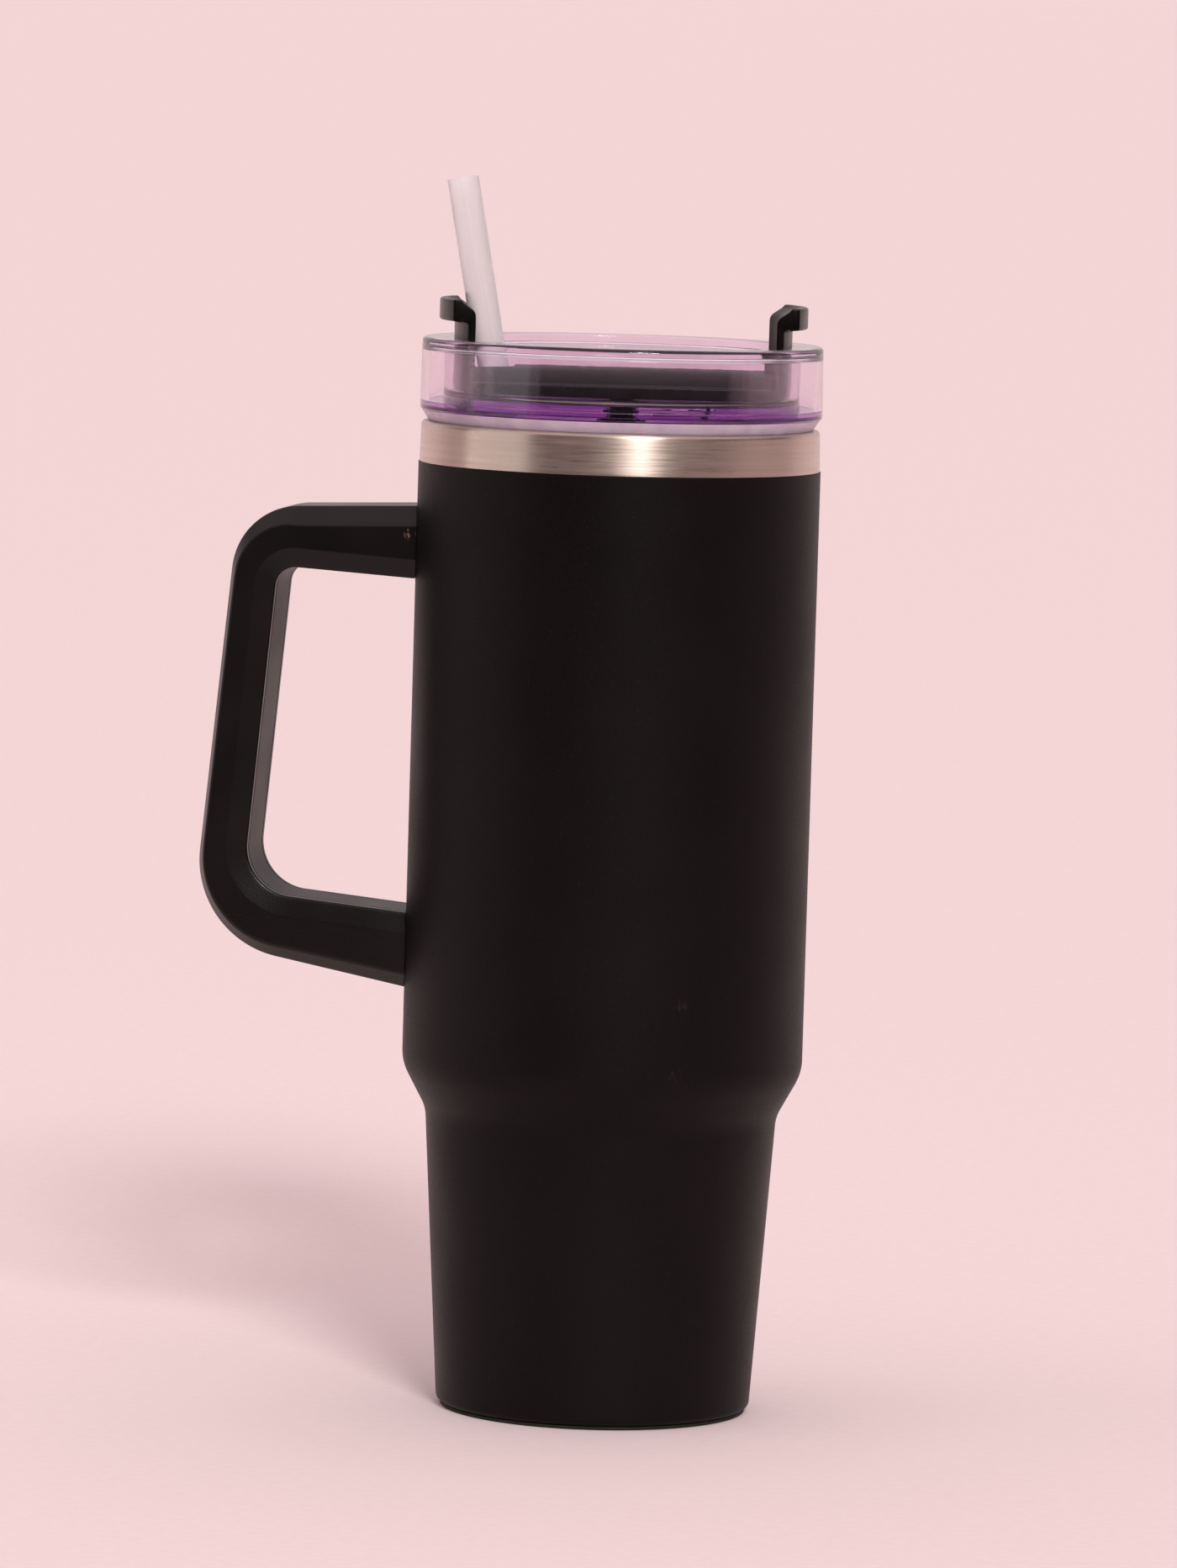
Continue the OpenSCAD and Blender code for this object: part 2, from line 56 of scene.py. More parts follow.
def rounded_corners(corners, radii, steps=EDGE_STEPS, hold=0.4):
    """Closed outline with each corner replaced by an arc of its radius, between a point a little before
    and a point a little after it that keep the flat faces flat.
    With u and v the directions from corner b to its neighbours and h half the angle between them, the
    arc's centre is b + unit(u + v) * r / sin(h), and its points turn evenly from b + u * r / tan(h) to
    b + v * r / tan(h). corners is (..., n, 2); the result is (..., n, steps + 3, 2)."""
    b = np.asarray(corners, float)
    r = np.broadcast_to(np.asarray(radii, float), b.shape[:-1])[..., None]
    before = np.roll(b, 1, axis=-2) - b
    after = np.roll(b, -1, axis=-2) - b
    long_before = np.linalg.norm(before, axis=-1, keepdims=True)
    long_after = np.linalg.norm(after, axis=-1, keepdims=True)
    u = before / long_before
    v = after / long_after
    half = np.arccos(np.clip((u * v).sum(-1, keepdims=True), -1, 1)) / 2
    cut = r / np.tan(half)
    middle = (u + v) / np.linalg.norm(u + v, axis=-1, keepdims=True)
    centre = b + middle * r / np.sin(half)
    start = b + u * cut - centre
    stop = b + v * cut - centre
    swing = np.pi - 2 * half[..., None]
    k = np.linspace(0, 1, steps + 1)[:, None]
    arc = centre[..., None, :] + (
        np.sin((1 - k) * swing) * start[..., None, :] + np.sin(k * swing) * stop[..., None, :]
    ) / np.sin(swing)
    spare_before = long_before - cut - np.roll(cut, 1, axis=-2)
    spare_after = long_after - cut - np.roll(cut, -1, axis=-2)
    lead = b + u * (cut + np.clip(0.3 * spare_before, 0, hold))
    trail = b + v * (cut + np.clip(0.3 * spare_after, 0, hold))
    return np.concatenate([lead[..., None, :], arc, trail[..., None, :]], axis=-2)


def outline(corners, steps=EDGE_STEPS):
    """Closed outline from rows of (distance from the axis, height, corner radius)."""
    rows = np.asarray(corners, float)
    return rounded_corners(rows[:, :2], rows[:, 2], steps).reshape(-1, 2)


def lathe(profile, turns=256):
    """f(u, v): the profile's point u, turned by the angle v about the cup's axis."""
    angle = np.linspace(0, 2 * np.pi, turns, endpoint=False)
    r = profile[:, :1]
    z = np.broadcast_to(profile[:, 1:], (len(profile), turns))
    return np.stack([r * np.cos(angle), r * np.sin(angle), z], axis=-1)


def skin(grid, ring_u=True, ends=False):
    """Points and faces of a grid (u, v, 3): a quad between each four neighbours. It closes on itself
    along v, and along u too where ring_u is true. With ends, the first and last ring get a face."""
    n, m = grid.shape[:2]
    index = np.arange(n * m).reshape(n, m)
    wrapped = np.concatenate([index, index[:, :1]], axis=1)
    if ring_u:
        wrapped = np.concatenate([wrapped, wrapped[:1]], axis=0)
    quads = np.stack(
        [wrapped[:-1, :-1], wrapped[1:, :-1], wrapped[1:, 1:], wrapped[:-1, 1:]], axis=-1
    ).reshape(-1, 4)
    faces = quads.tolist()
    if ends:
        faces += [index[0].tolist(), index[-1][::-1].tolist()]
    return grid.reshape(-1, 3), faces


def solid_mesh(name, skins):
    """One mesh from closed skins in millimetres: poles and seams merged, faces pointing outwards."""
    points, faces, count = [], [], 0
    for p, f in skins:
        points.append(p)
        faces += [[i + count for i in face] for face in f]
        count += len(p)
    mesh = bpy.data.meshes.new(name)
    mesh.from_pydata(np.concatenate(points) * MM, [], faces)
    work = bmesh.new()
    work.from_mesh(mesh)
    bmesh.ops.remove_doubles(work, verts=work.verts, dist=2e-6)
    bmesh.ops.dissolve_degenerate(work, edges=work.edges, dist=1e-6)
    bmesh.ops.recalc_face_normals(work, faces=work.faces)
    work.to_mesh(mesh)
    work.free()
    return mesh


def smooth(mesh, degrees=38):
    """Shades a mesh smooth, with its edges sharper than this angle left crisp."""
    mesh.shade_smooth()
    mesh.set_sharp_from_angle(angle=math.radians(degrees))


def carve(mesh, cutters):
    """The mesh with the closed cutter skins taken out of it."""
    body = bpy.data.objects.new("carved", mesh)
    bpy.context.scene.collection.objects.link(body)
    tools = []
    for cutter in cutters:
        tool = bpy.data.objects.new("cutter", solid_mesh("cutter", [cutter]))
        bpy.context.scene.collection.objects.link(tool)
        step = body.modifiers.new("cut", "BOOLEAN")
        step.operation = "DIFFERENCE"
        step.solver = "EXACT"
        step.object = tool
        tools.append(tool)
    graph = bpy.context.evaluated_depsgraph_get()
    result = bpy.data.meshes.new_from_object(body.evaluated_get(graph))
    for used in [body, *tools]:
        bpy.data.objects.remove(used)
    return result


def place(name, mesh, body, slot, material, *nodes):
    """Puts a finished mesh on its CAD body, in place of the CAD nodes it stands for."""
    smooth(mesh)
    mesh.materials.clear()
    mesh.materials.append(material)
    piece = bpy.data.objects.new(name, mesh)
    bpy.context.scene.collection.objects.link(piece)
    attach(piece, body)
    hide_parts(*nodes)
    return piece


def box_mm(node):
    """A CAD node's lowest and highest corner in millimetres."""
    low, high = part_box(node)
    return np.array(low) / MM, np.array(high) / MM


# ---------- materials ----------


def tint(code):
    """An sRGB hex colour as linear RGBA."""
    parts = [int(code[i : i + 2], 16) / 255 for i in (1, 3, 5)]
    return (*[c / 12.92 if c <= 0.04045 else ((c + 0.055) / 1.055) ** 2.4 for c in parts], 1.0)


def add(tree, kind, inputs=None, **settings):
    """Adds one node: settings are its properties, inputs its sockets' values or links."""
    node = tree.nodes.new("ShaderNode" + kind)
    for key, value in settings.items():
        setattr(node, key, value)
    for key, value in (inputs or {}).items():
        if isinstance(value, bpy.types.NodeSocket):
            tree.links.new(value, node.inputs[key])
        else:
            node.inputs[key].default_value = value
    return node


def begin(name):
    """A new empty material, its node tree, and the place of each point on its piece."""
    material = bpy.data.materials.new(name)
    material.use_nodes = True
    tree = material.node_tree
    tree.nodes.clear()
    return material, tree, add(tree, "TexCoord").outputs["Object"]


def grain(tree, where, size_mm, low=0.0, high=1.0, cut=(0.35, 0.65), stretch=(1, 1, 1), detail=2.0):
    """Noise with spots size_mm across, longer along an axis by one over its stretch, and its middle
    range cut spread over low to high."""
    spread = add(tree, "Mapping", {"Vector": where, "Scale": stretch}).outputs[0]
    noise = add(tree, "TexNoise", {"Vector": spread, "Scale": 1000 / size_mm, "Detail": detail}).outputs[0]
    return add(
        tree,
        "MapRange",
        {"Value": noise, "From Min": cut[0], "From Max": cut[1], "To Min": low, "To Max": high},
    ).outputs[0]


def shade(tree, surface, inside=None):
    """Links a shader, and what fills the piece, to the material's output."""
    output = add(tree, "OutputMaterial", {"Surface": surface})
    if inside is not None:
        tree.links.new(inside, output.inputs["Volume"])


def scuffs(tree, where, spots, radius_mm):
    """1 near each of the spots (in millimetres), falling to 0 at radius_mm, broken into fine streaks."""
    total = 0.0
    for spot in spots:
        away = add(
            tree, "VectorMath", {0: where, 1: tuple(c * MM for c in spot)}, operation="DISTANCE"
        ).outputs["Value"]
        near = add(
            tree,
            "MapRange",
            {"Value": away, "From Min": 0.0, "From Max": radius_mm * MM, "To Min": 1.0, "To Max": 0.0},
        ).outputs[0]
        total = add(tree, "Math", {0: total, 1: near}, operation="ADD").outputs[0]
    streak = grain(tree, where, 0.8, cut=(0.56, 0.62), stretch=(1, 1, 0.3))
    return add(tree, "Math", {0: total, 1: streak}, operation="MULTIPLY", use_clamp=True).outputs[0]


def powder_coat():
    """Black polyester powder, sprayed dry and baked. The melted grains leave a fine even tooth that
    keeps highlights broad and dull, and slow patches where hands have rubbed it a little smoother.
    The tooth is 0.2 mm on the real one and is drawn at 0.45 mm, the finest that shows. The specular
    level is under a real coat's, for a deep black under the soft key."""
    material, tree, where = begin("polyester_powder_coat_matt_black")
    tooth = grain(tree, where, 0.45, cut=(0.25, 0.75))
    lint = grain(tree, where, 0.6, high=0.25, cut=(0.74, 0.80), detail=0.0)
    worn = scuffs(tree, where, [(25.5, -41.8, 104), (24.5, -42.4, 88)], 2.6)
    marks = add(tree, "Math", {0: lint, 1: worn}, operation="MAXIMUM").outputs[0]
    black = add(
        tree,
        "Mix",
        {0: grain(tree, where, 26), 6: tint("#090404"), 7: tint("#0c0606")},
        data_type="RGBA",
    ).outputs[2]
    colour = add(tree, "Mix", {0: marks, 6: black, 7: tint("#241e1d")}, data_type="RGBA").outputs[2]
    rubbed = grain(tree, where, 34, 0.42, 0.50, cut=(0.3, 0.7))
    gritty = grain(tree, where, 0.45, -0.03, 0.05)
    rough = add(tree, "Math", {0: rubbed, 1: gritty}, operation="ADD").outputs[0]
    bump = add(tree, "Bump", {"Height": tooth, "Strength": 0.22, "Distance": 0.00006}).outputs[0]
    paint = add(
        tree,
        "BsdfPrincipled",
        {"Base Color": colour, "Roughness": rough, "Normal": bump, "IOR": 1.5, "Specular IOR Level": 0.13},
    )
    shade(tree, paint.outputs[0])
    return material


def brushed_steel():
    """Stainless 18/8 steel, spun and brushed round the mouth. The lines run round the cup, so lights
    smear into upright bands while the lines themselves stay visible up close. Real lines are 0.05 mm
    apart and are drawn at 0.22 mm, the finest that shows."""
    material, tree, where = begin("stainless_steel_brushed")
    lines = grain(tree, where, 0.22, cut=(0.3, 0.7), stretch=(0.02, 0.02, 1), detail=3.0)
    broad = grain(tree, where, 0.9, cut=(0.3, 0.7), stretch=(0.02, 0.02, 1))
    handled = grain(tree, where, 14, 0.0, 0.06)
    rough = add(
        tree, "MapRange", {"Value": lines, "From Min": 0.0, "From Max": 1.0, "To Min": 0.24, "To Max": 0.36}
    ).outputs[0]
    rough = add(tree, "Math", {0: rough, 1: handled}, operation="ADD").outputs[0]
    # The base colour is partly real and partly painted reflection: the grey and its broad streaks are the
    # steel's own, while its warm copper cast stands in for the pink room that the steel mirrors.
    colour = add(tree, "Mix", {0: broad, 6: tint("#c8b7ac"), 7: tint("#d2c2b7")}, data_type="RGBA").outputs[2]
    bump = add(tree, "Bump", {"Height": lines, "Strength": 0.12, "Distance": 0.00003}).outputs[0]
    steel = add(
        tree,
        "BsdfPrincipled",
        {
            "Base Color": colour,
            "Metallic": 1.0,
            "Roughness": rough,
            "Anisotropic": 0.8,
            "Anisotropic Rotation": 0.25,
            "Tangent": add(tree, "Tangent", direction_type="RADIAL", axis="Z").outputs[0],
            "Normal": bump,
        },
    )
    shade(tree, steel.outputs[0])
    return material


def pressed_steel():
    """Stainless sheet as it comes from the press and the spot welder: dull grey, faintly mottled, with
    straw-coloured heat tint in patches."""
    material, tree, where = begin("stainless_steel_pressed_and_welded")
    mottled = add(
        tree,
        "Mix",
        {0: grain(tree, where, 1.6), 6: tint("#8d8a87"), 7: tint("#a9a5a1")},
        data_type="RGBA",
    ).outputs[2]
    heat = grain(tree, where, 7, high=0.5, cut=(0.5, 0.65))
    colour = add(tree, "Mix", {0: heat, 6: mottled, 7: tint("#a58a5e")}, data_type="RGBA").outputs[2]
    rough = grain(tree, where, 2.2, 0.38, 0.52)
    bump = add(
        tree, "Bump", {"Height": grain(tree, where, 0.6), "Strength": 0.2, "Distance": 0.00005}
    ).outputs[0]
    steel = add(
        tree, "BsdfPrincipled", {"Base Color": colour, "Metallic": 1.0, "Roughness": rough, "Normal": bump}
    )
    shade(tree, steel.outputs[0])
    return material


def zinc_steel():
    """Screw steel with bright zinc plating: blue-grey, with a soft cloudy sheen."""
    material, tree, where = begin("steel_zinc_plated")
    colour = add(
        tree,
        "Mix",
        {0: grain(tree, where, 1.1), 6: tint("#9fa3a8"), 7: tint("#bfc3c6")},
        data_type="RGBA",
    ).outputs[2]
    bump = add(
        tree, "Bump", {"Height": grain(tree, where, 0.4), "Strength": 0.15, "Distance": 0.00003}
    ).outputs[0]
    metal = add(
        tree,
        "BsdfPrincipled",
        {
            "Base Color": colour,
            "Metallic": 1.0,
            "Roughness": grain(tree, where, 0.9, 0.24, 0.36),
            "Normal": bump,
        },
    )
    shade(tree, metal.outputs[0])
    return material


def copper_foil():
    """Rolled copper foil wrapped by hand: bright, with shallow creases 4 mm apart and fine roll lines."""
    material, tree, where = begin("copper_foil_rolled")
    colour = add(
        tree,
        "Mix",
        {0: grain(tree, where, 6), 6: tint("#c07c58"), 7: tint("#d79a74")},
        data_type="RGBA",
    ).outputs[2]
    crease = grain(tree, where, 4, cut=(0.3, 0.7))
    bump = add(tree, "Bump", {"Height": crease, "Strength": 0.35, "Distance": 0.0003}).outputs[0]
    rough = grain(tree, where, 0.5, 0.18, 0.3, stretch=(0.05, 0.05, 1))
    foil = add(
        tree, "BsdfPrincipled", {"Base Color": colour, "Metallic": 1.0, "Roughness": rough, "Normal": bump}
    )
    shade(tree, foil.outputs[0])
    return material


def getter_alloy():
    """Pressed and sintered getter powder: dark grey, matt and granular at 0.3 mm."""
    material, tree, where = begin("getter_alloy_sintered")
    grit = grain(tree, where, 0.35, cut=(0.3, 0.7))
    colour = add(tree, "Mix", {0: grit, 6: tint("#4c4d50"), 7: tint("#77787b")}, data_type="RGBA").outputs[2]
    bump = add(tree, "Bump", {"Height": grit, "Strength": 0.5, "Distance": 0.0001}).outputs[0]
    metal = add(
        tree,
        "BsdfPrincipled",
        {
            "Base Color": colour,
            "Metallic": 0.7,
            "Roughness": grain(tree, where, 1, 0.6, 0.75),
            "Normal": bump,
        },
    )
    shade(tree, metal.outputs[0])
    return material


def solder_glass():
    """Bead of solder glass that melted into the port: milky grey-green, glossy, with tiny bubbles."""
    material, tree, where = begin("solder_glass_fused")
    bubbles = grain(tree, where, 0.3, cut=(0.6, 0.7))
    colour = add(
        tree, "Mix", {0: bubbles, 6: tint("#8e968f"), 7: tint("#c4c9c2")}, data_type="RGBA"
    ).outputs[2]
    bump = add(tree, "Bump", {"Height": bubbles, "Strength": 0.25, "Distance": 0.00005}).outputs[0]
    glass = add(
        tree,
        "BsdfPrincipled",
        {
            "Base Color": colour,
            "Roughness": grain(tree, where, 0.8, 0.12, 0.22),
            "Transmission Weight": 0.35,
            "IOR": 1.6,
            "Normal": bump,
        },
    )
    shade(tree, glass.outputs[0])
    return material


def pad_rubber():
    """Moulded black silicone rubber: dead matt, with a fine open grain that holds pale dust."""
    material, tree, where = begin("silicone_rubber_moulded_black")
    dust = grain(tree, where, 0.7, high=0.5, cut=(0.58, 0.72))
    colour = add(tree, "Mix", {0: dust, 6: tint("#121111"), 7: tint("#3b3836")}, data_type="RGBA").outputs[2]
    bump = add(
        tree, "Bump", {"Height": grain(tree, where, 0.4), "Strength": 0.3, "Distance": 0.00006}
    ).outputs[0]
    rubber = add(
        tree,
        "BsdfPrincipled",
        {"Base Color": colour, "Roughness": grain(tree, where, 5, 0.68, 0.82), "IOR": 1.43, "Normal": bump},
    )
    shade(tree, rubber.outputs[0])
    return material


def handle_plastic(name, dark, light, smoothest, roughest, spots):
    """Black polypropylene, injection moulded in a spark-eroded mould: satin, with a fine pebble grain
    0.3 mm across (drawn at 0.5 mm, the finest that shows) and softer shine where it is held."""
    material, tree, where = begin(name)
    pebble = grain(tree, where, 0.5, cut=(0.3, 0.7))
    patchy = grain(tree, where, 18)
    base = add(tree, "Mix", {0: patchy, 6: tint(dark), 7: tint(light)}, data_type="RGBA").outputs[2]
    worn = scuffs(tree, where, spots, 1.8)
    colour = add(tree, "Mix", {0: worn, 6: base, 7: tint("#9a8072")}, data_type="RGBA").outputs[2]
    rough = grain(tree, where, 22, smoothest, roughest, cut=(0.3, 0.7))
    bump = add(tree, "Bump", {"Height": pebble, "Strength": 0.18, "Distance": 0.00006}).outputs[0]
    moulding = add(
        tree,
        "BsdfPrincipled",
        {"Base Color": colour, "Roughness": rough, "IOR": 1.49, "Normal": bump, "Specular IOR Level": 0.28},
    )
    shade(tree, moulding.outputs[0])
    return material


def closure_plastic():
    """Black ABS, injection moulded in a polished mould: semi-gloss, with soft flow waves and hairline
    marks from the fingers."""
    material, tree, where = begin("abs_moulded_semi_gloss_black")
    hairs = grain(tree, where, 0.5, high=0.4, cut=(0.64, 0.7), stretch=(1, 0.08, 1))
    base = add(
        tree,
        "Mix",
        {0: grain(tree, where, 9), 6: tint("#090505"), 7: tint("#0d0707")},
        data_type="RGBA",
    ).outputs[2]
    colour = add(tree, "Mix", {0: hairs, 6: base, 7: tint("#241c1d")}, data_type="RGBA").outputs[2]
    rough = grain(tree, where, 7, 0.24, 0.34, cut=(0.3, 0.7))
    waves = grain(tree, where, 3.5, cut=(0.3, 0.7))
    bump = add(tree, "Bump", {"Height": waves, "Strength": 0.12, "Distance": 0.0001}).outputs[0]
    moulding = add(
        tree, "BsdfPrincipled",
        {"Base Color": colour, "Roughness": rough, "IOR": 1.54, "Normal": bump, "Specular IOR Level": 0.13},
    )
    shade(tree, moulding.outputs[0])
    return material


def clear_plastic(name, thin, thick, smoothest, roughest, depth_tint, density):
    """Clear SAN, injection moulded and polished. Its violet cast is faint through a wall and deep along
    a floor or an edge, where the eye looks through centimetres of it. Hair-fine handling scratches and
    slow moulding waves bend what is behind it. Rays on their way to a lamp pass straight through, so
    that what stands inside is lit. The IOR is 1.4, under SAN's own 1.57, which keeps the room's
    reflections off the dark strap."""
    material, tree, where = begin(name)
    colour = add(
        tree,
        "Mix",
        {0: grain(tree, where, 16), 6: tint(thin), 7: tint(thick)},
        data_type="RGBA",
    ).outputs[2]
    scratches = grain(tree, where, 0.35, cut=(0.66, 0.71), stretch=(0.12, 0.12, 1))
    cloud = grain(tree, where, 12, smoothest, roughest)
    scored = add(tree, "Math", {0: scratches, 1: 0.05}, operation="MULTIPLY").outputs[0]
    rough = add(tree, "Math", {0: cloud, 1: scored}, operation="ADD").outputs[0]
    waves = grain(tree, where, 8, cut=(0.3, 0.7))
    bump = add(tree, "Bump", {"Height": waves, "Strength": 0.05, "Distance": 0.0002}).outputs[0]
    clear = add(
        tree,
        "BsdfPrincipled",
        {
            "Base Color": colour,
            "Roughness": rough,
            "Transmission Weight": 1.0,
            "IOR": 1.4,
            "Normal": bump,
        },
    )
    lamp_ray = add(tree, "LightPath").outputs["Is Shadow Ray"]
    through = add(tree, "BsdfTransparent", {"Color": tint(thin)})
    surface = add(tree, "MixShader", {0: lamp_ray, 1: clear.outputs[0], 2: through.outputs[0]})
    depth = add(tree, "VolumeAbsorption", {"Color": depth_tint, "Density": density})
    shade(tree, surface.outputs[0], depth.outputs[0])
    return material


def silicone():
    """Unpigmented silicone, moulded: milky and translucent, satin, with a bloom of fine dust."""
    material, tree, where = begin("silicone_moulded_translucent")
    colour = add(
        tree,
        "Mix",
        {0: grain(tree, where, 5), 6: tint("#d9cbdb"), 7: tint("#e8dde8")},
        data_type="RGBA",
    ).outputs[2]
    bump = add(
        tree, "Bump", {"Height": grain(tree, where, 0.7), "Strength": 0.12, "Distance": 0.00005}
    ).outputs[0]
    rubber = add(
        tree,
        "BsdfPrincipled",
        {
            "Base Color": colour,
            "Roughness": grain(tree, where, 3, 0.34, 0.48),
            "IOR": 1.43,
            "Transmission Weight": 0.3,
            "Subsurface Weight": 0.35,
            "Subsurface Scale": 0.002,
            "Normal": bump,
        },
    )
    shade(tree, rubber.outputs[0])
    return material


def straw_plastic():
    """Polypropylene, extruded and frosted: cloudy and see-through, with die lines along the tube. Rays
    on their way to a lamp pass through, a little weaker."""
    material, tree, where = begin("polypropylene_extruded_frosted")
    along = add(
        tree, "Mapping", {"Vector": where, "Rotation": (0, -STRAW_LEAN, 0)}, vector_type="TEXTURE"
    ).outputs[0]
    die = grain(tree, along, 0.5, cut=(0.3, 0.7), stretch=(1, 1, 0.02))
    colour = add(tree, "Mix", {0: die, 6: tint("#fbf6f7"), 7: tint("#fffdfd")}, data_type="RGBA").outputs[2]
    bump = add(tree, "Bump", {"Height": die, "Strength": 0.15, "Distance": 0.00005}).outputs[0]
    tube = add(
        tree,
        "BsdfPrincipled",
        {
            "Base Color": colour,
            "Roughness": grain(tree, where, 6, 0.14, 0.22),
            "IOR": 1.49,
            "Transmission Weight": 0.68,
            "Normal": bump,
        },
    )
    lamp_ray = add(tree, "LightPath").outputs["Is Shadow Ray"]
    through = add(tree, "BsdfTransparent", {"Color": tint("#bdb4b7")})
    shade(tree, add(tree, "MixShader", {0: lamp_ray, 1: tube.outputs[0], 2: through.outputs[0]}).outputs[0])
    return material


COAT = powder_coat()
BRUSHED = brushed_steel()
PRESSED = pressed_steel()
ZINC = zinc_steel()
COPPER = copper_foil()
GETTER = getter_alloy()
BEAD = solder_glass()
RUBBER = pad_rubber()
HANDLE = handle_plastic(
    "polypropylene_moulded_satin_black", "#0b0707", "#0f0909", 0.28, 0.36, [(-49.3, -11.6, 213.6)]
)
COVER = handle_plastic(
    "polypropylene_moulded_fine_satin_black", "#0b0707", "#0e0909", 0.42, 0.50, []
)
ABS = closure_plastic()
LID_CLEAR = clear_plastic(
    "san_moulded_clear_polished", "#fcf7fb", "#f8f2f8", 0.0, 0.02, (0.55, 0.08, 0.68, 1), 22
)
LID_VIOLET = clear_plastic(
    "san_moulded_clear_violet", "#e6cfe9", "#dcc2e2", 0.0, 0.02, (0.55, 0.08, 0.72, 1), 60
)
SILICONE = silicone()
FROSTED = straw_plastic()


# ---------- cup ----------

shell_low, shell_high = box_mm("outer_shell")
BODY_R = shell_high[1]
BAND_Z = shell_high[2]
MOUTH_Z = box_mm("inner_liner")[1][2]
PAD_TOP = shell_low[2]
PAD_R = box_mm("base_pad")[1][0]
SHELL_T = 0.5
LINER_T = 0.4
LINER_GAP = 3.3
WAIST_R, WAIST_Z, WAIST_ROUND = 43.0, 73.1, 10.0
SHOULDER_Z, SHOULDER_ROUND = 84.2, 12.0
FOOT_R, FOOT_ROUND = 38.4, 1.9
FLANGE_R = 33.5
FLOOR_Z = 9.0
LINER_FOOT_ROUND = 8.0
BAND_R = BODY_R - 0.25
LIP_ROUND = 1.1
LIP_TAPER = 0.25
LIP_T = 0.5
LINER_R = BODY_R - LINER_GAP - LINER_T

WALL = np.array([[BODY_R, BAND_Z], [BODY_R, SHOULDER_Z], [WAIST_R, WAIST_Z], [FOOT_R, PAD_TOP]])
ROUNDS = [0, SHOULDER_ROUND, -WAIST_ROUND, FOOT_ROUND]


def wall_corner(i, d):
    """The outer wall's corner i moved inwards by d, as (distance, height, radius)."""
    along = np.diff(WALL, axis=0)
    along /= np.linalg.norm(along, axis=1, keepdims=True)
    n1, n2 = np.array([[a[1], -a[0]] for a in along[i - 1 : i + 1]])
    moved = WALL[i] + d * (n1 + n2) / (1 + n1 @ n2)
    return (moved[0], moved[1], abs(ROUNDS[i] - d))


def cone_r(z, d):
    """Radius of the lower cone at height z, moved inwards by d."""
    a, b = WALL[2], WALL[3]
    u = (b - a) / np.linalg.norm(b - a)
    return a[0] + (b[0] - a[0]) * (z - a[1]) / (b[1] - a[1]) + d / u[1]


FLANGE_TOP = PAD_TOP + SHELL_T
shell = [
    (BODY_R - 0.02, BAND_Z, 0.22),
    wall_corner(1, 0),
    wall_corner(2, 0),
    (FOOT_R, PAD_TOP, FOOT_ROUND),
    (FLANGE_R, PAD_TOP, 0.1),
    (FLANGE_R, FLANGE_TOP, 0.1),
    (cone_r(FLANGE_TOP, SHELL_T), FLANGE_TOP, FOOT_ROUND - SHELL_T),
    wall_corner(2, SHELL_T),
    wall_corner(1, SHELL_T),
    (BODY_R - SHELL_T, BAND_Z, 0.1),
]
shell_mesh = solid_mesh("shell", [skin(lathe(outline(shell)))])
place("outer_shell_painted", shell_mesh, "cup", "powder_coat", COAT, "outer_shell")

INNER = LINER_GAP + LINER_T
FLOOR_TOP = FLOOR_Z + LINER_T
UNDER_LIP = MOUTH_Z - LIP_T
liner = [
    (BAND_R, BAND_Z, 0.1),
    (BAND_R - LIP_TAPER, MOUTH_Z, LIP_ROUND),
    (LINER_R, MOUTH_Z, LIP_ROUND),
    wall_corner(1, INNER),
    wall_corner(2, INNER),
    (cone_r(FLOOR_TOP, INNER), FLOOR_TOP, LINER_FOOT_ROUND - LINER_T),
    (0, FLOOR_TOP, 0),
    (0, FLOOR_Z, 0),
    (cone_r(FLOOR_Z, LINER_GAP), FLOOR_Z, LINER_FOOT_ROUND),
    wall_corner(2, LINER_GAP),
    wall_corner(1, LINER_GAP),
    (LINER_R + LINER_T, UNDER_LIP, LIP_ROUND - LIP_T),
    (BAND_R - LIP_TAPER - LIP_T, UNDER_LIP, LIP_ROUND - LIP_T),
    (BAND_R - LIP_T, BAND_Z, 0.1),
]
liner_mesh = solid_mesh("liner", [skin(lathe(outline(liner)))])
place("inner_liner_brushed", liner_mesh, "cup", "bare_steel", BRUSHED, "inner_liner")

GROOVE_OUT, GROOVE_IN, GROOVE_TOP = 31.0, 29.4, 0.3
pad = [
    (0, 0, 0),
    (GROOVE_IN, 0, 0.15),
    (GROOVE_IN, GROOVE_TOP, 0.1),
    (GROOVE_OUT, GROOVE_TOP, 0.1),
    (GROOVE_OUT, 0, 0.15),
    (PAD_R, 0, 0.3),
    (PAD_R, PAD_TOP, 0.1),
    (0, PAD_TOP, 0),
]
pad_mesh = solid_mesh("pad", [skin(lathe(outline(pad)))])
place("base_pad_rubber", pad_mesh, "cup", "pad_rubber", RUBBER, "base_pad")


# ---------- handle ----------

HALF = box_mm("handle_frame")[1][1]
# Half widths of the flats on the finger side and on the outer side
INNER_HALF = HALF - 1.1
OUTER_HALF = HALF - 3.7
COVER_HALF, COVER_T = 8.4, 2.3
CHANNEL_HALF = 7.3
FRAME_WALL = 2.6
SLIP = 0.1
ARM_START = 42.0
BEND_STEPS = 28
GRIP_T = 13.2
# Heights of the arms' four faces at the cup, and the lean of the grip's two faces
UPPER_TOP_Z, UPPER_UNDER_Z = 220.1, 202.5
LOWER_TOP_Z, LOWER_UNDER_Z = 120.8, 102.3
OUTER_LEAN, INNER_LEAN = 0.0885, 0.083


def upper_top(x):
    """Height of the upper arm's top at a distance x from the axis."""
    return UPPER_TOP_Z - 0.038 * (x - BODY_R)


def upper_under(x):
    """Height of the upper arm's underside."""
    return UPPER_UNDER_Z + 0.055 * (x - BODY_R)


